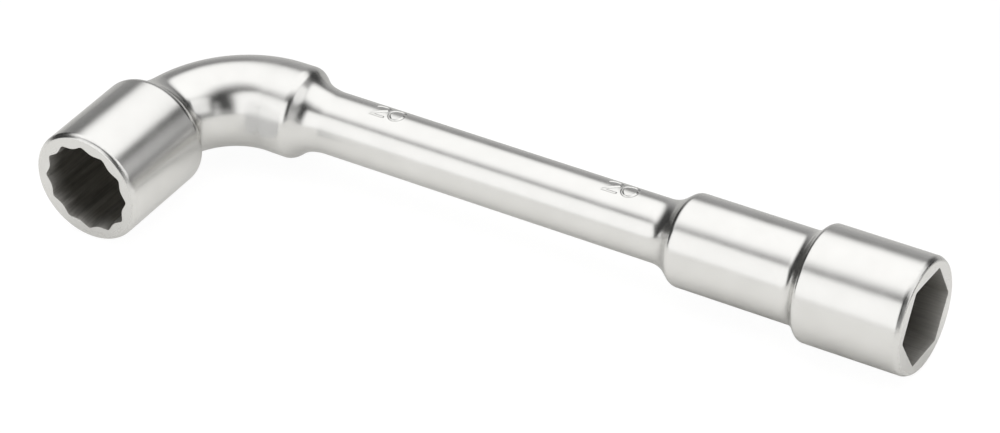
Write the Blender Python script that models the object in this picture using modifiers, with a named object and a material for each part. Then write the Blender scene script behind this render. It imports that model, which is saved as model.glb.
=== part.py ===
"""Angled socket wrench, an L of forged and bent steel bar with a socket for the same nut on each arm.

Metres, +Z up. The wrench lies flat: the long arm runs along +X to its 6-point socket, and the short arm
along -Y to its 12-point socket. The origin is on the surface it lies on, midway along both arms' reach.
Each forged section is one object, and neighbours meet on a flat face square to the bar.
"""
import math

import bmesh
import bpy
from mathutils import Vector

MM = 0.001

# The nut, and the sockets broached for it
NUT_SIZE = 20.0 * MM
BROACH_CLEARANCE = 0.15 * MM
SIX_POINT_DEPTH = 26.0 * MM
SIX_POINT_WALL = 2.77 * MM
TWELVE_POINT_DEPTH = 20.0 * MM
TWELVE_POINT_WALL = 3.14 * MM

# Behind each broached socket: the steel up to its section face, and the sloping back shoulder
SIX_POINT_BACK = 5.35 * MM
SIX_POINT_SHOULDER = 2.21 * MM
SIX_POINT_SHOULDER_ROUND = 1.5 * MM
GROOVE_LAND = 2.25 * MM
GROOVE_FILLET = 3.0 * MM
TWELVE_POINT_BACK = 9.41 * MM
TWELVE_POINT_SHOULDER = 0.85 * MM
TWELVE_POINT_SHOULDER_ROUND = 2.0 * MM
MOUTH_ROUND = 0.95 * MM

# Barrel, with the drilled clearance for a long stud
BARREL_LENGTH = 38.25 * MM
BARREL_BORE = 16.0 * MM
BARREL_WALL = 3.515 * MM
BORE_END_WALL = 13.33 * MM
DRILL_POINT_ANGLE = math.radians(118.0)
NECK_LAND = 3.79 * MM
NECK_SLOPE = 4.4 * MM
NECK_FILLET = 7.9 * MM
BARREL_SHOULDER_ROUND = 2.5 * MM

# Plain round shank
SHANK_LENGTH = 89.65 * MM
SHANK_OD = 15.88 * MM

# Elbow, drilled right through in line with the short arm
BEND_RADIUS = 22.54 * MM
ELBOW_LEAD = 0.3 * MM
THROUGH_BORE = 15.0 * MM
ELBOW_WALL = 3.03 * MM
ELBOW_SWELL = 1.22 * MM
ELBOW_FLARE = 2.6 * MM
FLARE_LENGTH = 1.2 * MM
FLARE_FILLET = 4.5 * MM
ELBOW_RUN = 5.8 * MM
SWELL_ROUND = 60.0 * MM
CREASE_DROP = 0.2 * MM
CREASE_EDGE = 0.65 * MM
CONE_LENGTH = 5.15 * MM
FOOT_FILLET = 8.2 * MM
ELBOW_TAIL = 5.51 * MM

# How finely round shapes are faceted, how far a cutter runs past what it cuts, and how near two
# points are when they count as one
SIDES = 48
ARC_STEP = math.radians(15.0)
BEND_STEP = math.radians(6.0)
OVERSHOOT = 2.0 * MM
MERGE = 0.001 * MM

# Sizes that follow from those above
HEX_POINTS = 6
BROACH_SIZE = NUT_SIZE + BROACH_CLEARANCE
POINT_RADIUS = BROACH_SIZE / 2 / math.cos(math.pi / HEX_POINTS)
NOTCH_RADIUS = BROACH_SIZE / 2 / math.cos(math.pi / HEX_POINTS / 2)
SIX_POINT_RADIUS = POINT_RADIUS + SIX_POINT_WALL
TWELVE_POINT_RADIUS = POINT_RADIUS + TWELVE_POINT_WALL
BARREL_RADIUS = BARREL_BORE / 2 + BARREL_WALL
SHANK_RADIUS = SHANK_OD / 2
ELBOW_RADIUS = THROUGH_BORE / 2 + ELBOW_WALL
ELBOW_END_RADIUS = ELBOW_RADIUS + ELBOW_SWELL
SIX_POINT_LENGTH = SIX_POINT_DEPTH + SIX_POINT_BACK
TWELVE_POINT_LENGTH = TWELVE_POINT_DEPTH + TWELVE_POINT_BACK
BEND_LENGTH = BEND_RADIUS * math.pi / 2

# Section faces along the two arms, from where the arms' axes cross
ELBOW_START = BEND_RADIUS + ELBOW_LEAD
ELBOW_END = BEND_RADIUS + ELBOW_RUN + CONE_LENGTH + ELBOW_TAIL
SHANK_END = ELBOW_END + SHANK_LENGTH
BARREL_END = SHANK_END + BARREL_LENGTH
LONG_REACH = BARREL_END + SIX_POINT_LENGTH
SHORT_REACH = ELBOW_START + TWELVE_POINT_LENGTH

for leftover in list(bpy.data.objects):
    bpy.data.objects.remove(leftover, do_unlink=True)


def new_collection(name):
    collection = bpy.data.collections.new(name)
    bpy.context.scene.collection.children.link(collection)
    return collection


PARTS = new_collection("angled_socket_wrench")
CUTTERS = new_collection("cutters")


def place_crossing():
    """The empty where the arms' axes cross, set so that the wrench lies centred on the origin."""
    radii = (TWELVE_POINT_RADIUS, SIX_POINT_RADIUS, BARREL_RADIUS, ELBOW_END_RADIUS)
    left = -max(TWELVE_POINT_RADIUS, ELBOW_RADIUS + ELBOW_FLARE)
    back = max(SIX_POINT_RADIUS, BARREL_RADIUS, ELBOW_END_RADIUS)
    crossing = bpy.data.objects.new("arms_crossing", None)
    crossing.location = (-(left + LONG_REACH) / 2, -(back - SHORT_REACH) / 2, max(radii))
    PARTS.objects.link(crossing)
    return crossing


CROSSING = place_crossing()
LONG_ARM_TURN = (0.0, math.pi / 2, 0.0)
SHORT_ARM_TURN = (math.pi / 2, 0.0, 0.0)


def chrome(name):
    """Bright chrome plate over forged steel, one material for each section."""
    material = bpy.data.materials.new(name + "_chrome")
    material.use_nodes = True
    shader = material.node_tree.nodes["Principled BSDF"]
    shader.inputs["Base Color"].default_value = (0.72, 0.72, 0.71, 1.0)
    shader.inputs["Metallic"].default_value = 1.0
    shader.inputs["Roughness"].default_value = 0.16
    return material


def rounded(corners):
    """Turn corners (along, radius, fillet) into points, each fillet an arc that fits its two edges."""
    points = []
    for index, (along, radius, fillet) in enumerate(corners):
        corner = Vector((along, radius))
        if fillet == 0.0:
            points.append(corner)
            continue
        before, after = corners[index - 1], corners[index + 1]
        to_before = Vector(before[:2]) - corner
        to_after = Vector(after[:2]) - corner
        turn = math.pi - to_before.angle(to_after)
        room_before = to_before.length * (0.5 if before[2] else 1.0)
        room_after = to_after.length * (0.5 if after[2] else 1.0)
        run = min(fillet * math.tan(turn / 2), room_before, room_after)
        bisector = (to_before.normalized() + to_after.normalized()).normalized()
        centre = corner + bisector * run / math.sin(turn / 2)
        spoke = corner + to_before.normalized() * run - centre
        side = -math.copysign(1.0, to_before.cross(to_after))
        steps = max(2, math.ceil(turn / ARC_STEP))
        for step in range(steps + 1):
            angle = side * turn * step / steps
            cosine, sine = math.cos(angle), math.sin(angle)
            swung = Vector((spoke.x * cosine - spoke.y * sine, spoke.x * sine + spoke.y * cosine))
            points.append(centre + swung)
    distinct = points[:1]
    for point in points[1:]:
        if (point - distinct[-1]).length > MERGE:
            distinct.append(point)
    return distinct


def add_object(name, mesh, collection, location=(0, 0, 0), turn=(0, 0, 0)):
    piece = bpy.data.objects.new(name, mesh)
    piece.parent = CROSSING
    piece.location = location
    piece.rotation_euler = turn
    collection.objects.link(piece)
    if collection is CUTTERS:
        piece.hide_render = True
        piece.display_type = "WIRE"
    else:
        mesh.materials.append(chrome(name))
    return piece


def turned(name, outline, collection, location, turn):
    """A solid of revolution about its own Z, from an outline of (along Z, radius) points, back to front."""
    back, front = outline[0][0], outline[-1][0]
    profile = [(0.0, front)] + [(radius, along) for along, radius in reversed(outline)] + [(0.0, back)]
    mesh = bpy.data.meshes.new(name)
    bm = bmesh.new()
    verts = [bm.verts.new((radius, 0.0, along)) for radius, along in profile]
    for first, second in zip(verts, verts[1:]):
        bm.edges.new((first, second))
    bmesh.ops.remove_doubles(bm, verts=bm.verts, dist=MERGE)
    bm.to_mesh(mesh)
    bm.free()
    piece = add_object(name, mesh, collection, location, turn)
    screw = piece.modifiers.new("turned", "SCREW")
    screw.steps = SIDES
    screw.render_steps = SIDES
    screw.use_merge_vertices = True
    screw.merge_threshold = MERGE
    screw.use_smooth_shade = True
    return piece


def prism(name, points, tip_radius, notch_radius, depth, location, turn):
    """A broach: a prism whose corners stand alternately at the tip and the notch radius, base at z = 0."""
    mesh = bpy.data.meshes.new(name)
    bm = bmesh.new()
    bmesh.ops.create_cone(bm, cap_ends=True, segments=2 * points, radius1=tip_radius,
                          radius2=tip_radius, depth=depth)
    for vert in bm.verts:
        column = round(math.atan2(vert.co.x, vert.co.y) / (math.pi / points))
        if column % 2:
            vert.co.xy *= notch_radius / tip_radius
        vert.co.z += depth / 2
    bm.to_mesh(mesh)
    bm.free()
    return add_object(name, mesh, CUTTERS, location, turn)


def cut(piece, cutter):
    boolean = piece.modifiers.new("cut_" + cutter.name, "BOOLEAN")
    boolean.operation = "DIFFERENCE"
    boolean.object = cutter


# The through bore runs from inside the 12-point socket out of the elbow's back
THROUGH_REACH = ELBOW_START + ELBOW_END_RADIUS + OVERSHOOT
through_bore = turned(
    "through_bore",
    [(-THROUGH_REACH, THROUGH_BORE / 2), (TWELVE_POINT_BACK + OVERSHOOT, THROUGH_BORE / 2)],
    CUTTERS, (0, -ELBOW_START, 0), SHORT_ARM_TURN)

# The barrel's bore starts inside the 6-point socket and ends in a drill point
DRILL_POINT = BARREL_BORE / 2 / math.tan(DRILL_POINT_ANGLE / 2)
barrel_bore = turned(
    "barrel_bore",
    [(BORE_END_WALL - DRILL_POINT, 0.0),
     (BORE_END_WALL, BARREL_BORE / 2),
     (BARREL_LENGTH + SIX_POINT_BACK + OVERSHOOT, BARREL_BORE / 2)],
    CUTTERS, (SHANK_END, 0, 0), LONG_ARM_TURN)


def make_twelve_point_socket():
    """Short socket: its back face meets the elbow, and a 12-point broach opens its mouth."""
    outline = rounded([
        (0.0, ELBOW_RADIUS + ELBOW_FLARE, 0.0),
        (TWELVE_POINT_SHOULDER, TWELVE_POINT_RADIUS, TWELVE_POINT_SHOULDER_ROUND),
        (TWELVE_POINT_LENGTH, TWELVE_POINT_RADIUS, MOUTH_ROUND),
        (TWELVE_POINT_LENGTH, POINT_RADIUS, 0.0)])
    back_face = (0, -ELBOW_START, 0)
    socket = turned("twelve_point_socket", outline, PARTS, back_face, SHORT_ARM_TURN)
    broach_floor = (0, -ELBOW_START - TWELVE_POINT_BACK, 0)
    broach = prism("twelve_point_broach", 2 * HEX_POINTS, POINT_RADIUS, NOTCH_RADIUS,
                   TWELVE_POINT_DEPTH + OVERSHOOT, broach_floor, SHORT_ARM_TURN)
    cut(socket, broach)
    cut(socket, through_bore)


def make_elbow():
    """Bent tube that flares to the socket, swells round the bend and ends in a crease, a cone and a fillet."""
    bend_end = ELBOW_LEAD + BEND_LENGTH
    crease = bend_end + ELBOW_RUN
    foot = crease + CONE_LENGTH
    outline = rounded([
        (0.0, ELBOW_RADIUS + ELBOW_FLARE, 0.0),
        (FLARE_LENGTH, ELBOW_RADIUS, FLARE_FILLET),
        (bend_end, ELBOW_END_RADIUS, SWELL_ROUND),
        (crease, ELBOW_END_RADIUS - CREASE_DROP, CREASE_EDGE),
        (foot, SHANK_RADIUS, FOOT_FILLET),
        (foot + ELBOW_TAIL, SHANK_RADIUS, 0.0)])

    # Stations along the bar's centreline: one where the bend starts, so that the face before it is square to
    # the bar, and the long run round the bend split into even steps
    stations = [outline[0]]
    for point in outline[1:]:
        last = stations[-1]
        if last.x < ELBOW_LEAD < point.x:
            last = last.lerp(point, (ELBOW_LEAD - last.x) / (point.x - last.x))
            stations.append(last)
        steps = max(1, math.ceil((point.x - last.x) / (BEND_STEP * BEND_RADIUS)))
        stations += [last.lerp(point, step / steps) for step in range(1, steps + 1)]

    curve = bpy.data.curves.new("elbow_bar", "CURVE")
    curve.dimensions = "3D"
    curve.twist_mode = "Z_UP"
    curve.bevel_depth = ELBOW_RADIUS
    curve.bevel_resolution = SIDES // 2 - 2
    curve.use_fill_caps = True
    spline = curve.splines.new("POLY")
    spline.points.add(len(stations) - 1)
    for point, station in zip(spline.points, stations):
        past_lead = station.x - ELBOW_LEAD
        angle = min(max(past_lead, 0.0), BEND_LENGTH) / BEND_RADIUS
        x = BEND_RADIUS * (1.0 - math.cos(angle)) + max(past_lead - BEND_LENGTH, 0.0)
        y = BEND_RADIUS * (math.sin(angle) - 1.0) + min(past_lead, 0.0)
        point.co = (x, y, 0.0, 1.0)
        point.radius = station.y / ELBOW_RADIUS

    # The swept bar becomes a mesh so that the through bore can be cut from it
    swept = bpy.data.objects.new("elbow_bar", curve)
    CUTTERS.objects.link(swept)
    bpy.context.view_layer.update()
    evaluated = swept.evaluated_get(bpy.context.evaluated_depsgraph_get())
    mesh = bpy.data.meshes.new_from_object(evaluated)
    mesh.name = "elbow"
    mesh.materials.clear()
    bpy.data.objects.remove(swept, do_unlink=True)
    bm = bmesh.new()
    bm.from_mesh(mesh)
    bmesh.ops.remove_doubles(bm, verts=bm.verts, dist=MERGE)
    bmesh.ops.recalc_face_normals(bm, faces=bm.faces)
    bm.to_mesh(mesh)
    bm.free()
    mesh.shade_smooth()
    mesh.set_sharp_from_angle(angle=math.radians(30.0))
    cut(add_object("elbow", mesh, PARTS), through_bore)


def make_shank():
    """Plain round bar between the elbow's tail and the barrel's neck."""
    outline = [(0.0, SHANK_RADIUS), (SHANK_LENGTH, SHANK_RADIUS)]
    turned("shank", outline, PARTS, (ELBOW_END, 0, 0), LONG_ARM_TURN)


def make_barrel():
    """Thicker bar behind the long socket, filleted down to the shank and drilled from the socket's side."""
    outline = rounded([
        (0.0, SHANK_RADIUS, 0.0),
        (NECK_LAND, SHANK_RADIUS, NECK_FILLET),
        (NECK_LAND + NECK_SLOPE, BARREL_RADIUS, BARREL_SHOULDER_ROUND),
        (BARREL_LENGTH, BARREL_RADIUS, 0.0)])
    barrel = turned("barrel", outline, PARTS, (SHANK_END, 0, 0), LONG_ARM_TURN)
    cut(barrel, barrel_bore)


def make_six_point_socket():
    """Long socket: a groove behind its shoulder meets the barrel, and a hexagon opens its mouth."""
    outline = rounded([
        (0.0, BARREL_RADIUS, 0.0),
        (GROOVE_LAND, BARREL_RADIUS, GROOVE_FILLET),
        (GROOVE_LAND + SIX_POINT_SHOULDER, SIX_POINT_RADIUS, SIX_POINT_SHOULDER_ROUND),
        (SIX_POINT_LENGTH, SIX_POINT_RADIUS, MOUTH_ROUND),
        (SIX_POINT_LENGTH, POINT_RADIUS, 0.0)])
    socket = turned("six_point_socket", outline, PARTS, (BARREL_END, 0, 0), LONG_ARM_TURN)
    broach_floor = (BARREL_END + SIX_POINT_BACK, 0, 0)
    flat_radius = BROACH_SIZE / 2
    broach = prism("six_point_broach", HEX_POINTS, POINT_RADIUS, flat_radius,
                   SIX_POINT_DEPTH + OVERSHOOT, broach_floor, LONG_ARM_TURN)
    cut(socket, broach)
    cut(socket, barrel_bore)


make_twelve_point_socket()
make_elbow()
make_shank()
make_barrel()
make_six_point_socket()
bpy.context.view_layer.update()
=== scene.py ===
import math

import bmesh
import bpy
from mathutils import Matrix, Vector


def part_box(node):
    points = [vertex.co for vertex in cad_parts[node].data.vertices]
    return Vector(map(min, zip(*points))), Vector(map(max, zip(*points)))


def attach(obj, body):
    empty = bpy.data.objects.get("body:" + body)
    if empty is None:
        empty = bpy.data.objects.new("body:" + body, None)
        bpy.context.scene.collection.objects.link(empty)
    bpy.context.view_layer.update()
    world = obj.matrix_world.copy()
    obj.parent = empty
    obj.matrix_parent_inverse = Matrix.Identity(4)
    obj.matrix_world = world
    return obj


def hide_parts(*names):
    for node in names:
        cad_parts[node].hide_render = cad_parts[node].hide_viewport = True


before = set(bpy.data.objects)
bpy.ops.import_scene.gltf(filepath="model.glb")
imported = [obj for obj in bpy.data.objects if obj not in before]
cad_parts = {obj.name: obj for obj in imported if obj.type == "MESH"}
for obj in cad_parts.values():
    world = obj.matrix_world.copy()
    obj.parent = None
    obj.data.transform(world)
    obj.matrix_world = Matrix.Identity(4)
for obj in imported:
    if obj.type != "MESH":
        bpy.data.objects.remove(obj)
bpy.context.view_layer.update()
MM = 0.001

# Short socket: the 12-point end, forged in one piece with the elbow behind it, chrome plated and ground
# flat across the mouth. The plate reaches a little way into the broached points, and the steel behind it is
# bare and dark, as in the bore that runs on through the elbow.
short_low, short_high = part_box("twelve_point_socket")
elbow_low, elbow_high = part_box("elbow")
SHORT_AXIS_X = (short_low.x + short_high.x) / 2
AXIS_Z = (short_low.z + short_high.z) / 2
SHORT_RADIUS = (short_high.x - short_low.x) / 2
SHORT_LENGTH = short_high.y - short_low.y
FLARE_RADIUS = SHORT_AXIS_X - elbow_low.x
SHORT_SHOULDER = 1.4 * MM
SHORT_SHOULDER_ROUND = 2.8 * MM
SHORT_EDGE = 0.85 * MM
SHORT_EDGE_DROP = 0.83 * MM
SHORT_EDGE_ROUND = 1.5 * MM
SHORT_RING_ROUND = 0.55 * MM
BROACH_FLATS = 20.15 * MM
SHORT_BROACH_DEPTH = 20.0 * MM
SHORT_LEAD_IN = 0.35 * MM
SHORT_BROACH_SHIFT = (0.19 * MM, 0.1 * MM)
SHORT_BROACH_TURN = math.radians(-1.1)
LEAD_IN_DEPTH = 1.2 * MM
SHORT_PLATE_REACH = 5.0 * MM
TIP_ROUND = 0.6 * MM
CREST_ROUND = 0.55 * MM
THROUGH_BORE_RADIUS = 7.5 * MM
BORE_CHAMFER = 0.5 * MM
SPOKES = 288
WEAR_RADIUS = 0.8 * MM
ARC_STEP = math.radians(5.0)
SHARP_EDGE = math.radians(32.0)
WELD = 0.0005 * MM


def node(tree, kind, feeds=None, **settings):
    """Add a node to a tree. feeds gives inputs, by name or number, a value or another node's output."""
    made = tree.nodes.new(kind)
    for name, value in settings.items():
        setattr(made, name, value)
    for key, value in (feeds or {}).items():
        if isinstance(value, bpy.types.NodeSocket):
            tree.links.new(value, made.inputs[key])
        else:
            made.inputs[key].default_value = value
    return made


def steel_finish(name):
    """A plain metal to build a finish on, as its material, its node tree and its shader."""
    material = bpy.data.materials.new(name)
    material.use_nodes = True
    shader = material.node_tree.nodes["Principled BSDF"]
    shader.inputs["Metallic"].default_value = 1.0
    return material, material.node_tree, shader


def grain(tree, where, size, detail=2.0):
    """Random cloud of a given grain size, from 0 to 1."""
    feeds = {"Vector": where, "Scale": 1.0 / size, "Detail": detail}
    return node(tree, "ShaderNodeTexNoise", feeds).outputs[0]


def stretched_grain(tree, steps):
    """Random marks on the turned surface, steps long: in turns round the axis and in metres along it."""
    turned = node(tree, "ShaderNodeUVMap", uv_map="turned").outputs[0]
    place = node(tree, "ShaderNodeSeparateXYZ", {0: turned}).outputs
    angle = node(tree, "ShaderNodeMath", {0: place[0], 1: 2 * math.pi}, operation="MULTIPLY").outputs[0]
    cosine = node(tree, "ShaderNodeMath", {0: angle}, operation="COSINE").outputs[0]
    sine = node(tree, "ShaderNodeMath", {0: angle}, operation="SINE").outputs[0]
    round_axis = node(tree, "ShaderNodeCombineXYZ", {0: cosine, 1: sine, 2: place[1]}).outputs[0]
    reach = 1.0 / (2 * math.pi * steps[0])
    per_step = (reach, reach, 1.0 / steps[1])
    spread = node(tree, "ShaderNodeVectorMath", {0: round_axis, 1: per_step}, operation="MULTIPLY")
    return grain(tree, spread.outputs[0], 1.0)


def fitted(tree, value, low, high, start=0.3, end=0.7):
    """A random value brought to between two limits."""
    return node(tree, "ShaderNodeMapRange", {0: value, 1: start, 2: end, 3: low, 4: high}).outputs[0]


def tinted(tree, share, first, second):
    """A colour between two, by a share from 0 to 1."""
    feeds = {0: share, 6: (*first, 1.0), 7: (*second, 1.0)}
    return node(tree, "ShaderNodeMix", feeds, data_type="RGBA").outputs[2]


def raised(tree, layers):
    """The bent normal of a surface whose heights are layers of (value, height in metres)."""
    normal = None
    for value, height in layers:
        feeds = {"Height": value, "Strength": 1.0, "Distance": height}
        if normal is not None:
            feeds["Normal"] = normal
        normal = node(tree, "ShaderNodeBump", feeds).outputs[0]
    return normal


PLATE_DIM = (0.61, 0.605, 0.59)
PLATE_BRIGHT = (0.64, 0.635, 0.62)
PLATE_WORN = (0.583, 0.578, 0.562, 1.0)
PLATE_GLOSS = (0.2, 0.24)
HAZE_GLOSS = 0.02
SCUFF_DULLING = 0.06
CLOUD_SIZE = 7.0 * MM
HAZE_SIZE = 0.35 * MM
HAZE_HEIGHT = 0.006 * MM
WAVE_SIZE = 5.0 * MM
WAVE_HEIGHT = 0.02 * MM
NICK_SIZE = 0.7 * MM
NICK_LIMITS = (0.45, 0.65)
POLISH_STEPS = (0.006, 14.0 * MM)
POLISH_HEIGHT = 0.0012 * MM


def make_chrome_plate():
    """Bright plate over buffed steel: faint haze, gentle waves of the forging, and scuffs on worn edges."""
    material, tree, shader = steel_finish("chrome_plate")
    where = node(tree, "ShaderNodeTexCoord").outputs["Object"]
    cloud = grain(tree, where, CLOUD_SIZE)
    haze = grain(tree, where, HAZE_SIZE, detail=4.0)
    waves = grain(tree, where, WAVE_SIZE, detail=0.0)
    wear = node(tree, "ShaderNodeAttribute", attribute_name="wear").outputs["Fac"]
    nicks = fitted(tree, grain(tree, where, NICK_SIZE, detail=3.0), 0.0, 1.0, *NICK_LIMITS)
    scuffed = node(tree, "ShaderNodeMath", {0: wear, 1: nicks}, operation="MULTIPLY").outputs[0]
    cloud_gloss = fitted(tree, cloud, *PLATE_GLOSS)
    haze_gloss = fitted(tree, haze, -HAZE_GLOSS, HAZE_GLOSS)
    gloss = node(tree, "ShaderNodeMath", {0: cloud_gloss, 1: haze_gloss}, operation="ADD").outputs[0]
    dulled = node(tree, "ShaderNodeMath", {0: scuffed, 1: SCUFF_DULLING, 2: gloss},
                  operation="MULTIPLY_ADD")
    clean = tinted(tree, fitted(tree, cloud, 0.0, 1.0), PLATE_DIM, PLATE_BRIGHT)
    worn = node(tree, "ShaderNodeMix", {0: scuffed, 6: clean, 7: PLATE_WORN}, data_type="RGBA")
    polish = stretched_grain(tree, POLISH_STEPS)
    normal = raised(tree, ((waves, WAVE_HEIGHT), (polish, POLISH_HEIGHT), (haze, HAZE_HEIGHT)))
    tree.links.new(worn.outputs[2], shader.inputs["Base Color"])
    tree.links.new(dulled.outputs[0], shader.inputs["Roughness"])
    tree.links.new(normal, shader.inputs["Normal"])
    return material


STAIN_SIZE = 3.0 * MM
STAIN_LIMITS = (0.7, 1.3)


def make_machined_steel(name, steps, dark, light, dull, height):
    """Cut steel, the tool's marks as stretched grain from dark to light, dull between two limits."""
    material, tree, shader = steel_finish(name)
    marks = stretched_grain(tree, steps)
    where = node(tree, "ShaderNodeTexCoord").outputs["Object"]
    stain = grain(tree, where, STAIN_SIZE, detail=3.0)
    share = node(tree, "ShaderNodeMath", {0: marks, 1: stain}, operation="ADD").outputs[0]
    colour = tinted(tree, fitted(tree, share, 0.0, 1.0, *STAIN_LIMITS), dark, light)
    tree.links.new(colour, shader.inputs["Base Color"])
    tree.links.new(fitted(tree, share, *dull, *STAIN_LIMITS), shader.inputs["Roughness"])
    tree.links.new(raised(tree, ((marks, height),)), shader.inputs["Normal"])
    return material


SCORE_STEPS = (0.006, 9.0 * MM)
SCORE_HEIGHT = 0.012 * MM
SCORE_GLOSS = (0.42, 0.58)
PLATED_POINTS_DIM = (0.41, 0.4, 0.38)
PLATED_POINTS_BRIGHT = (0.52, 0.51, 0.485)
PLATED_POINTS_METAL = 0.86
BARE_POINTS_DIM = (0.28, 0.272, 0.253)
BARE_POINTS_BRIGHT = (0.4, 0.388, 0.362)


def make_broached_steel():
    """The broach's long scores: dull, pale plate near the mouth, which gives way to dark bare steel."""
    material, tree, shader = steel_finish("broached_steel")
    scores = stretched_grain(tree, SCORE_STEPS)
    bare = node(tree, "ShaderNodeAttribute", attribute_name="bare").outputs["Fac"]
    share = fitted(tree, scores, 0.0, 1.0)
    pale = tinted(tree, share, PLATED_POINTS_DIM, PLATED_POINTS_BRIGHT)
    dark = tinted(tree, share, BARE_POINTS_DIM, BARE_POINTS_BRIGHT)
    colour = node(tree, "ShaderNodeMix", {0: bare, 6: pale, 7: dark}, data_type="RGBA").outputs[2]
    tree.links.new(colour, shader.inputs["Base Color"])
    tree.links.new(fitted(tree, bare, PLATED_POINTS_METAL, 1.0, 0.0, 1.0), shader.inputs["Metallic"])
    tree.links.new(fitted(tree, scores, *SCORE_GLOSS), shader.inputs["Roughness"])
    tree.links.new(raised(tree, ((scores, SCORE_HEIGHT),)), shader.inputs["Normal"])
    return material


chrome_plate = make_chrome_plate()
ground_plate = make_machined_steel(
    "ground_plate", steps=(0.2, 0.12 * MM), dark=PLATE_DIM, light=PLATE_BRIGHT,
    dull=(0.26, 0.32), height=0.001 * MM)
broached_steel = make_broached_steel()
drilled_steel = make_machined_steel(
    "drilled_steel", steps=(0.3, 0.3 * MM), dark=(0.305, 0.295, 0.275), light=(0.445, 0.43, 0.4),
    dull=(0.4, 0.55), height=0.015 * MM)
FINISHES = (chrome_plate, ground_plate, broached_steel, drilled_steel)
PLATED, GROUND, BROACHED, DRILLED = range(4)


def round_corners(corners):
    """Points of an outline from corners (along, radius, fillet), each fillet an arc that fits its edges."""
    points = []
    for index, (along, radius, fillet) in enumerate(corners):
        corner = Vector((along, radius))
        if fillet == 0.0:
            points.append(corner)
            continue
        before, after = corners[index - 1], corners[index + 1]
        to_before = Vector(before[:2]) - corner
        to_after = Vector(after[:2]) - corner
        turn = math.pi - to_before.angle(to_after)
        room_before = to_before.length * (0.5 if before[2] else 1.0)
        room_after = to_after.length * (0.5 if after[2] else 1.0)
        run = min(fillet * math.tan(turn / 2), room_before, room_after)
        bisector = (to_before.normalized() + to_after.normalized()).normalized()
        centre = corner + bisector * run / math.sin(turn / 2)
        spoke = corner + to_before.normalized() * run - centre
        side = -math.copysign(1.0, to_before.cross(to_after))
        steps = max(2, math.ceil(turn / ARC_STEP))
        for step in range(steps + 1):
            swing = Matrix.Rotation(side * turn * step / steps, 2)
            points.append(centre + swing @ spoke)
    return points


def soft_min(first, second, blend):
    """The lesser of two lengths, with the corner where they cross rounded over the blend."""
    near = max(blend - abs(first - second), 0.0) / blend
    return min(first, second) - near * near * blend / 4


def hexagon(angle):
    """Radius of the broached hexagon at an angle from one of its corners."""
    corner_angle = math.pi / 3
    turned = angle % corner_angle
    half = BROACH_FLATS / 2
    ahead = half / math.cos(turned - corner_angle / 2)
    behind = half / math.cos(min(turned, corner_angle - turned) + corner_angle / 2)
    return soft_min(ahead, behind, TIP_ROUND)


def twelve_points(angle):
    """Radius of the 12-point broach: two hexagons a twelfth of a turn apart, their crests rounded."""
    return -soft_min(-hexagon(angle), -hexagon(angle + math.pi / 6), CREST_ROUND)


def wandered(points, shift, turn, opened=0.0):
    """The rule of a broach that ran a little off the socket's axis, by a shift (across, up) and a turn, and
    is opened all round for its lead-in."""
    def reach(angle):
        return points(angle - turn) + opened + shift[0] * math.cos(angle) + shift[1] * math.sin(angle)
    return reach


def short_arm_point(along, radius, angle):
    """A point round the short arm, along from the socket's back face towards its mouth."""
    return Vector((SHORT_AXIS_X + radius * math.cos(angle),
                   short_high.y - along,
                   AXIS_Z + radius * math.sin(angle)))


def edge_wear(outline, closed):
    """How worn each point of an outline is, from 0 to 1: more where an outward edge is tighter."""
    wear = []
    last = len(outline) - 1
    for index, point in enumerate(outline):
        before = outline[index - 1] if index or closed else point
        after = outline[(index + 1) % len(outline)] if index < last or closed else point
        arrive, leave = point - before, after - point
        span = (arrive.length + leave.length) / 2
        if min(arrive.length, leave.length) < WELD:
            wear.append(0.0)
            continue
        outward = math.asin(max(-1.0, min(1.0, -arrive.normalized().cross(leave.normalized()))))
        wear.append(min(1.0, max(0.0, outward / span * WEAR_RADIUS)))
    return wear


def loft(name, rings, place, closed, plate_reach=1.0):
    """A mesh through rings (along, radius or rule for it by angle, finish of the band that follows). The
    plate inside gives way to bare steel over plate_reach from the mouth."""
    mesh = bpy.data.meshes.new(name)
    bm = bmesh.new()
    worn = bm.verts.layers.float.new("wear")
    bare = bm.verts.layers.float.new("bare")
    turned = bm.loops.layers.uv.new("turned")
    outline = [Vector((along, radius(0.0) if callable(radius) else radius)) for along, radius, _ in rings]
    travel = [0.0]
    for before, after in zip(outline, outline[1:] + outline[:1]):
        travel.append(travel[-1] + (after - before).length)
    hoops = []
    mouth = max(along for along, _, _ in rings)
    for (along, radius, _), wear in zip(rings, edge_wear(outline, closed)):
        hoop = []
        for spoke in range(SPOKES):
            angle = 2 * math.pi * spoke / SPOKES
            reach = radius(angle) if callable(radius) else radius
            vert = bm.verts.new(place(along, reach, angle))
            vert[worn] = wear
            vert[bare] = min((mouth - along) / plate_reach, 1.0)
            hoop.append(vert)
        hoops.append(hoop)
    bands = len(rings) if closed else len(rings) - 1
    for band in range(bands):
        hoop, next_hoop = hoops[band], hoops[(band + 1) % len(hoops)]
        for spoke in range(SPOKES):
            after = (spoke + 1) % SPOKES
            face = bm.faces.new((hoop[spoke], hoop[after], next_hoop[after], next_hoop[spoke]))
            face.material_index = rings[band][2]
            corners = ((spoke, band), (spoke + 1, band), (spoke + 1, band + 1), (spoke, band + 1))
            for loop, (turn, step) in zip(face.loops, corners):
                loop[turned].uv = (turn / SPOKES, travel[step])
    bmesh.ops.remove_doubles(bm, verts=bm.verts, dist=WELD)
    bmesh.ops.recalc_face_normals(bm, faces=bm.faces)
    bm.to_mesh(mesh)
    bm.free()
    return finish_mesh(mesh)


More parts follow.
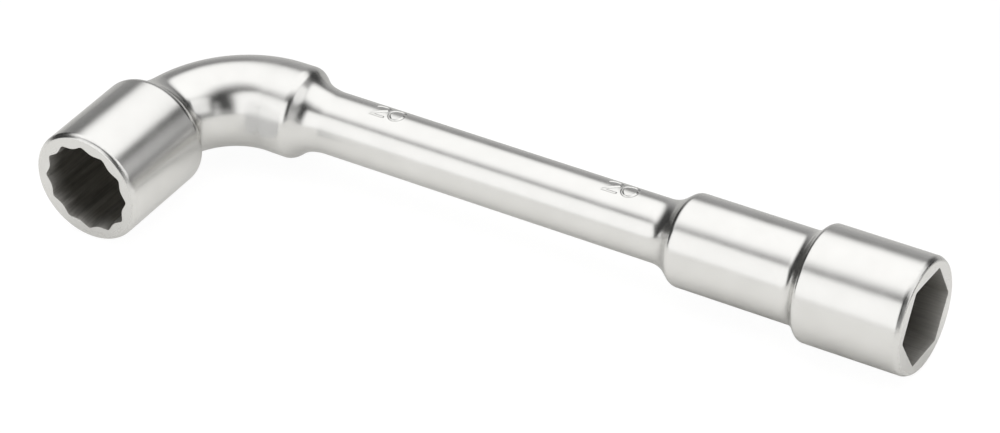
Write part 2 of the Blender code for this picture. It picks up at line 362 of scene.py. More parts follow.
def finish_mesh(mesh):
    """Smooth shading that breaks only at real edges, and the finishes of the forging."""
    mesh.shade_smooth()
    mesh.set_sharp_from_angle(angle=SHARP_EDGE)
    if not mesh.materials:
        for finish in FINISHES:
            mesh.materials.append(finish)
    piece = bpy.data.objects.new(mesh.name, mesh)
    bpy.context.scene.collection.objects.link(piece)
    return piece


def forged(piece, cad_node):
    """Every section of the forging rides on the one body, and the part it stands for is hidden."""
    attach(piece, "root")
    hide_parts(cad_node)


short_floor = SHORT_LENGTH - SHORT_BROACH_DEPTH
short_broach = wandered(twelve_points, SHORT_BROACH_SHIFT, SHORT_BROACH_TURN)
short_lead_in = wandered(twelve_points, SHORT_BROACH_SHIFT, SHORT_BROACH_TURN, SHORT_LEAD_IN)
short_outline = round_corners([
    (0.0, FLARE_RADIUS, 0.0),
    (SHORT_SHOULDER, SHORT_RADIUS, SHORT_SHOULDER_ROUND),
    (SHORT_LENGTH - SHORT_EDGE, SHORT_RADIUS, SHORT_EDGE_ROUND),
    (SHORT_LENGTH, SHORT_RADIUS - SHORT_EDGE_DROP, SHORT_RING_ROUND),
    (SHORT_LENGTH, BROACH_FLATS / 2, 0.0)])
short_rings = [(0.0, THROUGH_BORE_RADIUS, PLATED)]
short_rings += [(along, radius, PLATED) for along, radius in short_outline[:-2]]
short_rings += [
    (*short_outline[-2], GROUND),
    (SHORT_LENGTH, short_lead_in, BROACHED),
    (SHORT_LENGTH - LEAD_IN_DEPTH, short_broach, BROACHED),
    (SHORT_LENGTH - SHORT_PLATE_REACH, short_broach, BROACHED),
    (short_floor, short_broach, DRILLED),
    (short_floor, THROUGH_BORE_RADIUS + BORE_CHAMFER, DRILLED),
    (short_floor - BORE_CHAMFER, THROUGH_BORE_RADIUS, DRILLED)]
short_socket = loft("short_socket", short_rings, short_arm_point, closed=True,
                    plate_reach=SHORT_PLATE_REACH)
forged(short_socket, "twelve_point_socket")

# Elbow: the bar bent through a right angle and left thicker than the shank, because it is bored right
# through in line with the short arm. It swells towards the long arm and ends in the crease of the forging
# die, a short cone and a fillet down to the shank.
six_low, six_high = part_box("six_point_socket")
shank_low, shank_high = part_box("shank")
LONG_AXIS_Y = (six_low.y + six_high.y) / 2
CROSSING = Vector((SHORT_AXIS_X, LONG_AXIS_Y, AXIS_Z))
SHANK_RADIUS = (shank_high.z - shank_low.z) / 2
BEND_RADIUS = 22.54 * MM
BEND_LENGTH = BEND_RADIUS * math.pi / 2
ELBOW_LEAD = LONG_AXIS_Y - elbow_low.y - BEND_RADIUS
ELBOW_FLARE = 2.6 * MM
FLARE_LENGTH = 2.9 * MM
FLARE_FILLET = 11.0 * MM
ELBOW_RADIUS = FLARE_RADIUS - ELBOW_FLARE
ELBOW_SWELL = 1.22 * MM
SWELL_ROUND = 60.0 * MM
ELBOW_RUN = 5.95 * MM
CREASE_RISE = 0.06 * MM
CREASE_EDGE = 3.6 * MM
CREASE_LEAN = (0.0, -0.058, 0.073)
LEAN_START = 4.5 * MM
LEAN_END = 1.6 * MM
CONE_LENGTH = 3.64 * MM
CONE_FOOT_RADIUS = 8.71 * MM
CONE_FILLET = 8.1 * MM
FOOT_LENGTH = 4.2 * MM
FOOT_FILLET = 12.0 * MM
STATION_STEP = 0.6 * MM
BORE_OVERSHOOT = 3.0 * MM
BORE_SIDES = 144
BORE_SKIN = 1.0005

bend_end = ELBOW_LEAD + BEND_LENGTH
elbow_crease = bend_end + ELBOW_RUN
cone_end = elbow_crease + CONE_LENGTH
elbow_length = bend_end + elbow_high.x - CROSSING.x - BEND_RADIUS
elbow_outline = round_corners([
    (0.0, FLARE_RADIUS, 0.0),
    (FLARE_LENGTH, ELBOW_RADIUS, FLARE_FILLET),
    (bend_end, ELBOW_RADIUS + ELBOW_SWELL, SWELL_ROUND),
    (elbow_crease, ELBOW_RADIUS + ELBOW_SWELL + CREASE_RISE, CREASE_EDGE),
    (cone_end, CONE_FOOT_RADIUS, CONE_FILLET),
    (cone_end + FOOT_LENGTH, SHANK_RADIUS, FOOT_FILLET),
    (elbow_length, SHANK_RADIUS, 0.0)])
elbow_stations = elbow_outline[:1]
for station in elbow_outline[1:]:
    last_station = elbow_stations[-1]
    if (station - last_station).length < WELD:
        continue
    if last_station.x < ELBOW_LEAD < station.x:
        share = (ELBOW_LEAD - last_station.x) / (station.x - last_station.x)
        last_station = last_station.lerp(station, share)
        elbow_stations.append(last_station)
    steps = max(1, math.ceil((station.x - last_station.x) / STATION_STEP))
    elbow_stations += [last_station.lerp(station, step / steps) for step in range(1, steps + 1)]


def bent_bar_tree():
    """Sweeps an outline (along the bar, radius) round the bend, leans its crease, and bores it in line with
    the short arm."""
    tree = bpy.data.node_groups.new("bent_bar", "GeometryNodeTree")
    face = tree.interface
    face.new_socket("Outline", in_out="INPUT", socket_type="NodeSocketGeometry")
    for name in ("Bend Radius", "Lead", "Lean From", "Lean Full", "Lean Kept", "Lean To",
                 "Bore Radius", "Bore Length"):
        face.new_socket(name, in_out="INPUT", socket_type="NodeSocketFloat")
    for name in ("Sides", "Bore Sides"):
        face.new_socket(name, in_out="INPUT", socket_type="NodeSocketInt")
    for name in ("Crossing", "Crease Lean", "Bore Middle"):
        face.new_socket(name, in_out="INPUT", socket_type="NodeSocketVector")
    for name in ("Plate", "Bore Steel"):
        face.new_socket(name, in_out="INPUT", socket_type="NodeSocketMaterial")
    face.new_socket("Elbow", in_out="OUTPUT", socket_type="NodeSocketGeometry")
    given = tree.nodes.new("NodeGroupInput").outputs

    def sum_of(operation, first, second=0.0):
        return node(tree, "ShaderNodeMath", {0: first, 1: second}, operation=operation).outputs[0]

    def vector_of(operation, *terms):
        feeds = dict(enumerate(terms))
        return node(tree, "ShaderNodeVectorMath", feeds, operation=operation).outputs

    place = node(tree, "GeometryNodeInputPosition").outputs[0]
    station = node(tree, "ShaderNodeSeparateXYZ", {0: place}).outputs
    past_lead = sum_of("SUBTRACT", station[0], given["Lead"])
    bend_length = sum_of("MULTIPLY", given["Bend Radius"], math.pi / 2)
    in_bend = sum_of("MINIMUM", sum_of("MAXIMUM", past_lead, 0.0), bend_length)
    angle = sum_of("DIVIDE", in_bend, given["Bend Radius"])
    sideways = sum_of("MULTIPLY", given["Bend Radius"], sum_of("SUBTRACT", 1.0, sum_of("COSINE", angle)))
    forward = sum_of("MULTIPLY", given["Bend Radius"], sum_of("SUBTRACT", sum_of("SINE", angle), 1.0))
    after_bend = sum_of("MAXIMUM", sum_of("SUBTRACT", past_lead, bend_length), 0.0)
    before_bend = sum_of("MINIMUM", past_lead, 0.0)
    bar_x = sum_of("ADD", sideways, after_bend)
    bar_y = sum_of("ADD", forward, before_bend)
    on_bar = node(tree, "ShaderNodeCombineXYZ", {0: bar_x, 1: bar_y}).outputs[0]
    centreline = vector_of("ADD", on_bar, given["Crossing"])[0]

    kept = node(tree, "GeometryNodeStoreNamedAttribute",
                {"Geometry": given["Outline"], "Name": "bar_radius", "Value": station[1]}).outputs[0]
    laid = node(tree, "GeometryNodeSetPosition", {"Geometry": kept, "Position": centreline}).outputs[0]
    path = node(tree, "GeometryNodeMeshToCurve", {"Mesh": laid}).outputs[0]
    girth = node(tree, "GeometryNodeCurvePrimitiveCircle",
                 {"Resolution": given["Sides"], "Radius": 1.0}).outputs[0]
    radius = node(tree, "GeometryNodeInputNamedAttribute", {"Name": "bar_radius"}).outputs[0]
    swept = node(tree, "GeometryNodeCurveToMesh",
                 {"Curve": path, "Profile Curve": girth, "Scale": radius, "Fill Caps": True}).outputs[0]
    bar = node(tree, "GeometryNodeRemoveAttribute", {"Geometry": swept, "Name": "bar_radius"}).outputs[0]

    from_crossing = vector_of("SUBTRACT", place, given["Crossing"])[0]
    past_crossing = node(tree, "ShaderNodeSeparateXYZ", {0: from_crossing}).outputs[0]
    rise = node(tree, "ShaderNodeMapRange",
                {0: past_crossing, 1: given["Lean From"], 2: given["Lean Full"]},
                interpolation_type="SMOOTHSTEP").outputs[0]
    fall = node(tree, "ShaderNodeMapRange",
                {0: past_crossing, 1: given["Lean To"], 2: given["Lean Kept"]},
                interpolation_type="SMOOTHSTEP").outputs[0]
    leaning = vector_of("DOT_PRODUCT", from_crossing, given["Crease Lean"])["Value"]
    eased = sum_of("MULTIPLY", leaning, sum_of("MULTIPLY", rise, fall))
    askew = node(tree, "ShaderNodeCombineXYZ", {0: eased}).outputs[0]
    leant = node(tree, "GeometryNodeSetPosition", {"Geometry": bar, "Offset": askew}).outputs[0]

    drill = node(tree, "GeometryNodeMeshCylinder",
                 {"Vertices": given["Bore Sides"], "Radius": given["Bore Radius"],
                  "Depth": given["Bore Length"]}).outputs
    mapped = node(tree, "GeometryNodeStoreNamedAttribute",
                  {"Geometry": drill["Mesh"], "Name": "turned"}, data_type="FLOAT2", domain="CORNER")
    tree.links.new(drill["UV Map"], mapped.inputs["Value"])
    aimed = node(tree, "GeometryNodeTransform",
                 {"Geometry": mapped.outputs[0], "Translation": given["Bore Middle"],
                  "Rotation": (math.pi / 2, 0.0, 0.0)}).outputs[0]
    bored = node(tree, "GeometryNodeMeshBoolean", {"Mesh 1": leant, "Mesh 2": aimed},
                 operation="DIFFERENCE", solver="EXACT").outputs[0]

    from_bore = vector_of("SUBTRACT", place, given["Bore Middle"])[0]
    from_axis = vector_of("MULTIPLY", from_bore, (1.0, 0.0, 1.0))[0]
    off_axis = vector_of("LENGTH", from_axis)["Value"]
    bore_skin = sum_of("MULTIPLY", given["Bore Radius"], BORE_SKIN)
    in_bore = node(tree, "FunctionNodeCompare", {0: off_axis, 1: bore_skin},
                   data_type="FLOAT", operation="LESS_THAN").outputs[0]
    real = node(tree, "GeometryNodeRealizeInstances", {0: bored}).outputs[0]
    plated = node(tree, "GeometryNodeSetMaterial",
                  {"Geometry": real, "Material": given["Plate"]}).outputs[0]
    finished = node(tree, "GeometryNodeSetMaterial",
                    {"Geometry": plated, "Selection": in_bore, "Material": given["Bore Steel"]}).outputs[0]
    node(tree, "NodeGroupOutput", {0: finished})
    return tree


def grown(name, seed_mesh, tree, inputs):
    """The plain mesh that a tree makes of a seed mesh, with its named inputs set before the first run."""
    seed = bpy.data.objects.new(name + "_seed", seed_mesh)
    bpy.context.scene.collection.objects.link(seed)
    modifier = seed.modifiers.new(tree.name, "NODES")
    modifier.node_group = tree
    for item in tree.interface.items_tree:
        if item.name in inputs:
            modifier[item.identifier] = inputs[item.name]
    bpy.context.view_layer.update()
    made = seed.evaluated_get(bpy.context.evaluated_depsgraph_get())
    mesh = bpy.data.meshes.new_from_object(made)
    mesh.name = name
    seed.modifiers.remove(modifier)
    bpy.data.objects.remove(seed, do_unlink=True)
    return mesh


outline_mesh = bpy.data.meshes.new("elbow_outline")
outline_mesh.from_pydata(
    [(station.x, station.y, 0.0) for station in elbow_stations],
    [(index, index + 1) for index in range(len(elbow_stations) - 1)], [])
outline_wear = outline_mesh.attributes.new("wear", "FLOAT", "POINT")
outline_wear.data.foreach_set("value", edge_wear(elbow_stations, closed=False))
bore_start = elbow_low.y - BORE_OVERSHOOT
bore_end = elbow_high.y + BORE_OVERSHOOT
elbow_mesh = grown("elbow_bend", outline_mesh, bent_bar_tree(), {
    "Bend Radius": BEND_RADIUS,
    "Lead": ELBOW_LEAD,
    "Lean From": BEND_RADIUS,
    "Lean Full": BEND_RADIUS + LEAN_START,
    "Lean Kept": elbow_high.x - CROSSING.x - LEAN_END,
    "Lean To": elbow_high.x - CROSSING.x,
    "Crease Lean": CREASE_LEAN,
    "Bore Radius": THROUGH_BORE_RADIUS,
    "Bore Length": bore_end - bore_start,
    "Sides": SPOKES,
    "Bore Sides": BORE_SIDES,
    "Crossing": CROSSING,
    "Bore Middle": Vector((SHORT_AXIS_X, (bore_start + bore_end) / 2, AXIS_Z)),
    "Plate": chrome_plate,
    "Bore Steel": drilled_steel})
elbow_bend = finish_mesh(elbow_mesh)
forged(elbow_bend, "elbow")

# Shank: the plain round bar of the long arm, drawn and polished before plating. The nut size is stamped
# into its upper side near each end with round-edged punches, which push up a faint lip beside each stroke.
MARK_MIDDLES = (-38.4 * MM, 26.8 * MM)
MARK_TURN = math.radians(-6.0)
DIGIT_HEIGHT = 4.5 * MM
TWO_WIDTH = 3.5 * MM
TWO_BOWL = 0.29 * DIGIT_HEIGHT
TWO_BOWL_ARC = (170.0, -35.0)
TWO_BOWL_STEPS = 20
ZERO_WIDTH = 3.9 * MM
ZERO_STEPS = 48
DIGIT_GAP = 0.9 * MM
STROKE_HALF_WIDTH = 0.4 * MM
STROKE_DEPTH = 0.2 * MM
STROKE_FULLNESS = 0.6
LIP_HEIGHT = 0.02 * MM
LIP_WIDTH = 0.2 * MM
LIP_FALL = 4.0
FINE_STEP = 0.1 * MM
PLAIN_STEP = 2.0 * MM
PLAIN_TURN = math.radians(3.0)
MARK_MARGIN = 1.0 * MM


def arc_points(middle, half_width, half_height, start, end, steps):
    """Points on a part of an oval, from a start to an end in degrees."""
    swept = [math.radians(start + (end - start) * step / steps) for step in range(steps + 1)]
    return [middle + Vector((half_width * math.cos(turn), half_height * math.sin(turn))) for turn in swept]


def size_mark():
    """Strokes of the size, 20, as chains of points about the mark's middle, across and up."""
    left = -(TWO_WIDTH + DIGIT_GAP + ZERO_WIDTH) / 2
    foot = -DIGIT_HEIGHT / 2
    bowl_middle = Vector((left + TWO_WIDTH / 2, DIGIT_HEIGHT / 2 - TWO_BOWL))
    two = arc_points(bowl_middle, TWO_WIDTH / 2, TWO_BOWL, *TWO_BOWL_ARC, TWO_BOWL_STEPS)
    two += [Vector((left, foot)), Vector((left + TWO_WIDTH, foot))]
    zero_middle = Vector((-left - ZERO_WIDTH / 2, 0.0))
    zero = arc_points(zero_middle, ZERO_WIDTH / 2, DIGIT_HEIGHT / 2, 0.0, 360.0, ZERO_STEPS)
    return two, zero


def distance_to(chain, point):
    """Least distance from a point to a chain of straight strokes."""
    least = math.inf
    for start, end in zip(chain, chain[1:]):
        run = end - start
        share = min(max((point - start).dot(run) / run.length_squared, 0.0), 1.0)
        least = min(least, (start + run * share - point).length)
    return least


def stamped_height(distance):
    """Height of the stamped surface at a distance from a stroke's middle: a round groove and its lip."""
    depth = 0.0
    if distance < STROKE_HALF_WIDTH:
        groove = 0.5 + 0.5 * math.cos(math.pi * distance / STROKE_HALF_WIDTH)
        depth = STROKE_DEPTH * groove ** STROKE_FULLNESS
    past = (distance - STROKE_HALF_WIDTH - LIP_WIDTH / 2) / LIP_WIDTH
    return LIP_HEIGHT * math.exp(-LIP_FALL * past * past) - depth


def stepped(start, end, step):
    """Even steps of about a given size from a start, up to but without the end."""
    count = max(1, round((end - start) / step))
    return [start + (end - start) * index / count for index in range(count)]


def make_shank():
    """The bar as hoops of points, close together where the marks are stamped and far apart elsewhere."""
    half_mark = (TWO_WIDTH + DIGIT_GAP + ZERO_WIDTH) / 2 + MARK_MARGIN
    half_turn = (DIGIT_HEIGHT / 2 + MARK_MARGIN) / SHANK_RADIUS
    stations = []
    reached = shank_low.x
    for middle in MARK_MIDDLES:
        stations += stepped(reached, middle - half_mark, PLAIN_STEP)
        stations += stepped(middle - half_mark, middle + half_mark, FINE_STEP)
        reached = middle + half_mark
    stations += stepped(reached, shank_high.x, PLAIN_STEP) + [shank_high.x]
    turns = stepped(MARK_TURN - half_turn, MARK_TURN + half_turn, FINE_STEP / SHANK_RADIUS)
    turns += stepped(MARK_TURN + half_turn, MARK_TURN - half_turn + 2 * math.pi, PLAIN_TURN)
    strokes = size_mark()

    mesh = bpy.data.meshes.new("shank_bar")
    bm = bmesh.new()
    hoops = []
    for x in stations:
        hoop = []
        for turn in turns:
            radius = SHANK_RADIUS
            up = -(turn - MARK_TURN) * SHANK_RADIUS
            for middle in MARK_MIDDLES:
                if abs(x - middle) < half_mark and abs(turn - MARK_TURN) < half_turn:
                    point = Vector((x - middle, up))
                    radius += stamped_height(min(distance_to(chain, point) for chain in strokes))
            hoop.append(bm.verts.new((x, LONG_AXIS_Y - radius * math.sin(turn),
                                      AXIS_Z + radius * math.cos(turn))))
        hoops.append(hoop)
    for hoop, next_hoop in zip(hoops, hoops[1:]):
        for index in range(len(turns)):
            after = (index + 1) % len(turns)
            bm.faces.new((hoop[index], hoop[after], next_hoop[after], next_hoop[index]))
    bm.faces.new(hoops[0])
    bm.faces.new(hoops[-1])
    bmesh.ops.recalc_face_normals(bm, faces=bm.faces)
    bm.to_mesh(mesh)
    bm.free()
    return finish_mesh(mesh)


shank_bar = make_shank()
forged(shank_bar, "shank")

# Barrel: the thicker length behind the long socket, left from the forging's upset end and drilled from
# the socket's side so that a long stud can pass into it. A fillet runs it down to the shank.
barrel_low, barrel_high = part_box("barrel")
BARREL_LENGTH = barrel_high.x - barrel_low.x
BARREL_RADIUS = (barrel_high.z - barrel_low.z) / 2
NECK_LAND = 3.79 * MM
NECK_SLOPE = 4.4 * MM
NECK_FILLET = 7.9 * MM
BARREL_SHOULDER_ROUND = 2.5 * MM
BARREL_BORE_RADIUS = 8.0 * MM
BORE_END_WALL = 13.33 * MM
DRILL_HALF_ANGLE = math.radians(59.0)
DRILL_POINT = BARREL_BORE_RADIUS / math.tan(DRILL_HALF_ANGLE)


def barrel_point(along, radius, angle):
    """A point round the long arm, along from the barrel's back face towards the long mouth."""
    return Vector((barrel_low.x + along,
                   LONG_AXIS_Y + radius * math.cos(angle),
                   AXIS_Z + radius * math.sin(angle)))


barrel_outline = round_corners([
    (0.0, SHANK_RADIUS, 0.0),
    (NECK_LAND, SHANK_RADIUS, NECK_FILLET),
    (NECK_LAND + NECK_SLOPE, BARREL_RADIUS, BARREL_SHOULDER_ROUND),
    (BARREL_LENGTH, BARREL_RADIUS, 0.0)])
barrel_rings = [(0.0, 0.0, PLATED)]
barrel_rings += [(along, radius, PLATED) for along, radius in barrel_outline]
barrel_rings += [
    (BARREL_LENGTH, BARREL_BORE_RADIUS, DRILLED),
    (BORE_END_WALL, BARREL_BORE_RADIUS, DRILLED),
    (BORE_END_WALL - DRILL_POINT, 0.0, DRILLED)]
barrel_tube = loft("barrel_tube", barrel_rings, barrel_point, closed=False)
forged(barrel_tube, "barrel")

# Long socket: the 6-point end, turned with a groove behind its shoulder, plated outside, ground across
# the mouth and broached to a plain hexagon for the nut. The plate reaches further in than at the short end.
SIX_BACK = six_low.x - barrel_low.x
SIX_FRONT = six_high.x - barrel_low.x
SIX_RADIUS = (six_high.z - six_low.z) / 2
SIX_BROACH_DEPTH = 26.0 * MM
SIX_LEAD_IN = 0.15 * MM
SIX_BROACH_SHIFT = (-0.18 * MM, 0.21 * MM)
SIX_BROACH_TURN = math.radians(-2.0)
SIX_EDGE = 1.25 * MM
SIX_EDGE_DROP = 0.74 * MM
SIX_EDGE_ROUND = 1.6 * MM
SIX_RING_ROUND = 0.8 * MM
SIX_PLATE_REACH = 11.0 * MM
GROOVE_LAND = 1.75 * MM
GROOVE_FILLET = 4.0 * MM
SIX_SHOULDER = 2.71 * MM
SIX_SHOULDER_ROUND = 1.5 * MM

six_floor = SIX_FRONT - SIX_BROACH_DEPTH
six_broach = wandered(hexagon, SIX_BROACH_SHIFT, SIX_BROACH_TURN)
six_lead_in = wandered(hexagon, SIX_BROACH_SHIFT, SIX_BROACH_TURN, SIX_LEAD_IN)
groove_end = SIX_BACK + GROOVE_LAND
six_outline = round_corners([
    (SIX_BACK, BARREL_RADIUS, 0.0),
    (groove_end, BARREL_RADIUS, GROOVE_FILLET),
    (groove_end + SIX_SHOULDER, SIX_RADIUS, SIX_SHOULDER_ROUND),
    (SIX_FRONT - SIX_EDGE, SIX_RADIUS, SIX_EDGE_ROUND),
    (SIX_FRONT, SIX_RADIUS - SIX_EDGE_DROP, SIX_RING_ROUND),
    (SIX_FRONT, BROACH_FLATS / 2, 0.0)])
six_rings = [(SIX_BACK, BARREL_BORE_RADIUS, PLATED)]
six_rings += [(along, radius, PLATED) for along, radius in six_outline[:-2]]
six_rings += [
    (*six_outline[-2], GROUND),
    (SIX_FRONT, six_lead_in, BROACHED),
    (SIX_FRONT - LEAD_IN_DEPTH, six_broach, BROACHED),
    (SIX_FRONT - SIX_PLATE_REACH, six_broach, BROACHED),
    (six_floor, six_broach, DRILLED),
    (six_floor, BARREL_BORE_RADIUS + BORE_CHAMFER, DRILLED),
    (six_floor - BORE_CHAMFER, BARREL_BORE_RADIUS, DRILLED)]
long_socket = loft("long_socket", six_rings, barrel_point, closed=True,
                   plate_reach=SIX_PLATE_REACH)
forged(long_socket, "six_point_socket")

# Floor: a broad sheet of plain white board that the wrench lies on. Its colour is painted greyer towards
# the back, a painted shade for the light that falls off behind the wrench. The camera sees it bleached
# almost to plain white, with only a breath of shadow, and the plate mirrors it with some of the shadow
# beside the short arm filled in by a painted glow.
FLOOR_HALF = 3.0
FRONT_WHITE = 0.93
BACK_SHADED_WHITE = 0.52
TOWARD_FRONT = (0.2, -0.98, 0.0)
SHADE_FROM = -10.0 * MM
SHADE_TO = -90.0 * MM
BLEACH = 0.9
BLEACH_GLOW = 1.05
MIRROR_FILL = 0.35
FILL_GLOW = 1.15
FILL_FROM = -60.0 * MM
FILL_TO = 40.0 * MM
BOARD_TINT = (1.0, 0.995, 0.975)
BOARD_ROUGHNESS = 0.7
floor_mesh = bpy.data.meshes.new("studio_floor")
floor_mesh.from_pydata([(-FLOOR_HALF, -FLOOR_HALF, 0), (FLOOR_HALF, -FLOOR_HALF, 0),
                        (FLOOR_HALF, FLOOR_HALF, 0), (-FLOOR_HALF, FLOOR_HALF, 0)], [], [(0, 1, 2, 3)])
studio_floor = bpy.data.objects.new("studio_floor", floor_mesh)
bpy.context.scene.collection.objects.link(studio_floor)
white_board = bpy.data.materials.new("white_board")
white_board.use_nodes = True
board = white_board.node_tree
board_shader = board.nodes["Principled BSDF"]
board_place = node(board, "ShaderNodeTexCoord").outputs["Object"]
to_front = node(board, "ShaderNodeVectorMath", {0: board_place, 1: TOWARD_FRONT}, operation="DOT_PRODUCT")
# Painted shade: the board's colour darkens towards the back for the light that falls off behind the wrench.
painted_board_shade = node(board, "ShaderNodeMapRange",
                 {0: to_front.outputs["Value"], 1: SHADE_TO, 2: SHADE_FROM, 3: BACK_SHADED_WHITE, 4: FRONT_WHITE},
                 interpolation_type="SMOOTHSTEP").outputs[0]
board_shader.inputs["Roughness"].default_value = BOARD_ROUGHNESS
plain_white = node(board, "ShaderNodeEmission", {"Strength": BLEACH_GLOW}).outputs[0]
rays = node(board, "ShaderNodeLightPath").outputs
seen = node(board, "ShaderNodeMath", {0: rays["Is Camera Ray"], 1: BLEACH}, operation="MULTIPLY").outputs[0]
board_x = node(board, "ShaderNodeSeparateXYZ", {0: board_place}).outputs[0]
# Painted light: glossy rays see part of the board as a glow, most towards the short arm's side, which fills
# in its shadow in the plate.
fill_share = node(board, "ShaderNodeMapRange",
                  {0: board_x, 1: FILL_FROM, 2: FILL_TO, 3: MIRROR_FILL, 4: 0.0}).outputs[0]
mirrored = node(board, "ShaderNodeMath", {0: rays["Is Glossy Ray"], 1: fill_share}, operation="MULTIPLY")
shaded_warm_white = tinted(board, painted_board_shade, (0.0, 0.0, 0.0), BOARD_TINT)
fill = node(board, "ShaderNodeEmission", {"Color": shaded_warm_white, "Strength": FILL_GLOW}).outputs[0]
filled = node(board, "ShaderNodeMixShader", {0: mirrored.outputs[0], 1: board_shader.outputs[0], 2: fill})
board_look = node(board, "ShaderNodeMixShader", {0: seen, 1: filled.outputs[0], 2: plain_white}).outputs[0]
board.links.new(shaded_warm_white, board_shader.inputs["Base Color"])
board.links.new(board_look, board.nodes["Material Output"].inputs["Surface"])
floor_mesh.materials.append(white_board)

# Light: a dim grey studio with a broad softbox overhead, a tall one that faces the short mouth, a smaller
# one that faces the long mouth, and dim walls and strips round them that the plate mirrors as grey stripes.
# The camera itself sees only plain white behind the floor.
ROOM_GLOW = 0.045
LEAST_AHEAD = 0.002
NEAREST_AHEAD = 0.001
OVERHEAD_LEFT = ((-1.0, 0.0, 0.0), 1.17, 0.48)
OVERHEAD_FRONT = ((0.26, -1.0, 0.0), 0.385, 0.32)
OVERHEAD_BACK = ((0.144, 1.0, 0.0), 1.46, 0.57)

studio = bpy.data.worlds.new("studio")
studio.use_nodes = True
bpy.context.scene.world = studio
room = studio.node_tree
toward = node(room, "ShaderNodeTexCoord").outputs["Generated"]


def glow_sum(operation, first, second=0.0):
    """One step of arithmetic in the studio's node tree."""
    return node(room, "ShaderNodeMath", {0: first, 1: second}, operation=operation).outputs[0]


def seen_along(axis):
    """How far the looked-at direction points along an axis."""
    along = node(room, "ShaderNodeVectorMath", {0: toward, 1: axis}, operation="DOT_PRODUCT")
    return along.outputs["Value"]


def softbox(facing, edges, glow):
    """Light from a flat panel at unit distance along facing. Each edge is the axis it lies out along, its
    reach from the panel's middle, and how far it is softened."""
    ahead = seen_along(facing)
    near = glow_sum("MAXIMUM", ahead, NEAREST_AHEAD)
    lit = glow_sum("GREATER_THAN", ahead, LEAST_AHEAD)
    for axis, reach, soft in edges:
        out = glow_sum("DIVIDE", seen_along(axis), near)
        fade = node(room, "ShaderNodeMapRange", {0: out, 1: reach + soft, 2: reach - soft},
                    interpolation_type="SMOOTHSTEP").outputs[0]
        lit = glow_sum("MULTIPLY", lit, fade)
    return glow_sum("MULTIPLY", lit, glow)


def wall_panel(bearing, left, right, bottom, top, soft, glow, slant=0.0):
    """A panel that stands upright at a compass bearing, in degrees from the long arm's direction."""
    turn = math.radians(bearing)
    facing = Vector((math.cos(turn), math.sin(turn), 0.0))
    across = Vector((-math.sin(turn), math.cos(turn), 0.0))
    rise = Vector((0.0, 0.0, 1.0)) + slant * across
    edges = ((across, right, soft), (-across, -left, soft), (rise, top, soft), (-rise, -bottom, soft))
    return softbox(facing, edges, glow)


def overhead_panel(right, right_soft, glow):
    """A layer of the panel over the wrench, whose front edge slants. Layers differ in the right edge."""
    overhead_right = ((1.0, 0.0, 0.0), right, right_soft)
    edges = (overhead_right, OVERHEAD_LEFT, OVERHEAD_FRONT, OVERHEAD_BACK)
    return softbox((0.0, 0.0, 1.0), edges, glow)


overhead = overhead_panel(right=0.757, right_soft=0.172, glow=1.267)
overhead_spill = overhead_panel(right=1.124, right_soft=0.552, glow=0.251)
short_mouth_box = wall_panel(
    bearing=-90.0, left=-1.252, right=0.33, bottom=-0.1, top=1.243, soft=0.219, glow=1.462, slant=0.083)
long_mouth_box = wall_panel(
    bearing=0.0, left=-0.4, right=0.658, bottom=0.251, top=1.243, soft=0.136, glow=1.2)
back_wall = wall_panel(
    bearing=120.0, left=-0.627, right=0.456, bottom=-0.3, top=0.427, soft=0.395, glow=0.485)
back_strip = wall_panel(
    bearing=40.0, left=-0.094, right=0.152, bottom=-0.3, top=0.613, soft=0.086, glow=0.337)
back_strip_middle = wall_panel(
    bearing=40.0, left=-0.094, right=0.152, bottom=0.168, top=0.512, soft=0.093, glow=0.28)
front_strip = wall_panel(
    bearing=-47.0, left=0.12, right=0.3, bottom=-0.3, top=0.72, soft=0.16, glow=0.66)
front_wall = wall_panel(
    bearing=-15.0, left=-1.309, right=0.337, bottom=-0.3, top=0.324, soft=0.146, glow=0.355)
light = ROOM_GLOW
for panel in (overhead, overhead_spill, short_mouth_box, long_mouth_box, back_wall, back_strip,
              back_strip_middle, front_strip, front_wall):
    light = glow_sum("ADD", light, panel)
camera_ray = node(room, "ShaderNodeLightPath").outputs["Is Camera Ray"]
shown = node(room, "ShaderNodeMix", {0: camera_ray, 2: light, 3: 1.0}, data_type="FLOAT").outputs[0]
room.links.new(shown, room.nodes["Background"].inputs["Strength"])
room.nodes["Background"].inputs["Color"].default_value = (1.0, 1.0, 1.0, 1.0)
bpy.context.scene.view_settings.view_transform = "Standard"

# Lamp: a broad square lamp hung straight above the wrench, which whitens the board. It doesn't show in the
# plate, which mirrors only the studio's panels.
LAMP_HEIGHT = 1.2
LAMP_SIZE = 1.2
LAMP_POWER = 4.0
lamp_data = bpy.data.lights.new("board_lamp", "AREA")
lamp_data.shape = "SQUARE"
lamp_data.size = LAMP_SIZE
lamp_data.energy = LAMP_POWER
board_lamp = bpy.data.objects.new("board_lamp", lamp_data)
board_lamp.location = (0.0, 0.0, LAMP_HEIGHT)
board_lamp.visible_glossy = False
bpy.context.scene.collection.objects.link(board_lamp)
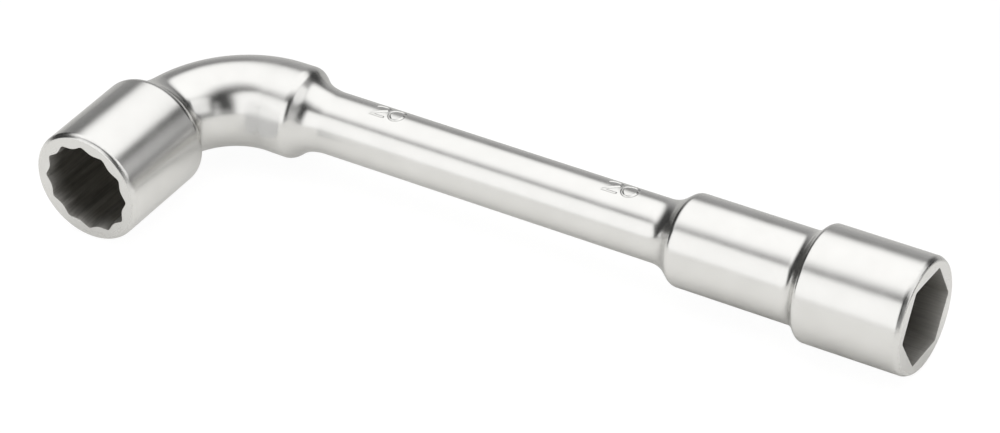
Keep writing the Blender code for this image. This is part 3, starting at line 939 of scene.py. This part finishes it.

# Card: a small glowing card stood beside the short socket, a painted light that only the plate's
# reflections show. Its glow, brighter towards its top, keeps the socket's dark mirror image out of the
# inside of the bend.
CARD_GAP = 1.0 * MM
CARD_PAST_SOCKET = 4.5 * MM
CARD_LOW = 0.5 * MM
CARD_HIGH = 28.0 * MM
CARD_DIM = 0.82
CARD_BRIGHT = 1.35
CARD_DIM_BELOW = 15.0 * MM
CARD_BRIGHT_ABOVE = 22.0 * MM
card_x = SHORT_AXIS_X + SHORT_RADIUS + CARD_GAP
card_end = elbow_low.y + CARD_PAST_SOCKET
card_mesh = bpy.data.meshes.new("bend_card")
card_mesh.from_pydata([(card_x, short_low.y, CARD_LOW), (card_x, card_end, CARD_LOW),
                       (card_x, card_end, CARD_HIGH), (card_x, short_low.y, CARD_HIGH)], [], [(0, 1, 2, 3)])
bend_card = bpy.data.objects.new("bend_card", card_mesh)
bpy.context.scene.collection.objects.link(bend_card)
glowing_card = bpy.data.materials.new("glowing_card")
glowing_card.use_nodes = True
card = glowing_card.node_tree
card_place = node(card, "ShaderNodeTexCoord").outputs["Object"]
card_rise = node(card, "ShaderNodeSeparateXYZ", {0: card_place}).outputs[2]
# Painted light: the card's glow, dimmer low down and brighter towards its top.
card_glow = node(card, "ShaderNodeMapRange",
                 {0: card_rise, 1: CARD_DIM_BELOW, 2: CARD_BRIGHT_ABOVE, 3: CARD_DIM, 4: CARD_BRIGHT},
                 interpolation_type="SMOOTHSTEP").outputs[0]
card_front = node(card, "ShaderNodeEmission", {"Strength": card_glow}).outputs[0]
card_back = node(card, "ShaderNodeBsdfTransparent").outputs[0]
turned_away = node(card, "ShaderNodeNewGeometry").outputs["Backfacing"]
card_look = node(card, "ShaderNodeMixShader", {0: turned_away, 1: card_front, 2: card_back}).outputs[0]
card.links.new(card_look, card.nodes["Material Output"].inputs["Surface"])
card_mesh.materials.append(glowing_card)
bend_card.visible_camera = False
bend_card.visible_diffuse = False
bend_card.visible_shadow = False

# Camera: a long lens in front of the long arm and well above it, so that both mouths show, turned a little
# about its own axis.
CAMERA_PLACE = Vector((384.342, -582.597, 521.654)) * MM
CAMERA_RIGHT = Vector((0.85052517, 0.52487635, -0.03334283))
CAMERA_AHEAD = Vector((-0.44218171, 0.6793201, -0.58566162))
LENS = 131.877
SENSOR_WIDTH = 36.0
camera_data = bpy.data.cameras.new("photo_camera")
camera_data.sensor_fit = "HORIZONTAL"
camera_data.sensor_width = SENSOR_WIDTH
camera_data.lens = LENS
photo_camera = bpy.data.objects.new("photo_camera", camera_data)
bpy.context.scene.collection.objects.link(photo_camera)
camera_up = CAMERA_RIGHT.cross(CAMERA_AHEAD)
camera_axes = Matrix((CAMERA_RIGHT, camera_up, -CAMERA_AHEAD)).transposed()
photo_camera.matrix_world = Matrix.Translation(CAMERA_PLACE) @ camera_axes.to_4x4()
bpy.context.scene.camera = photo_camera
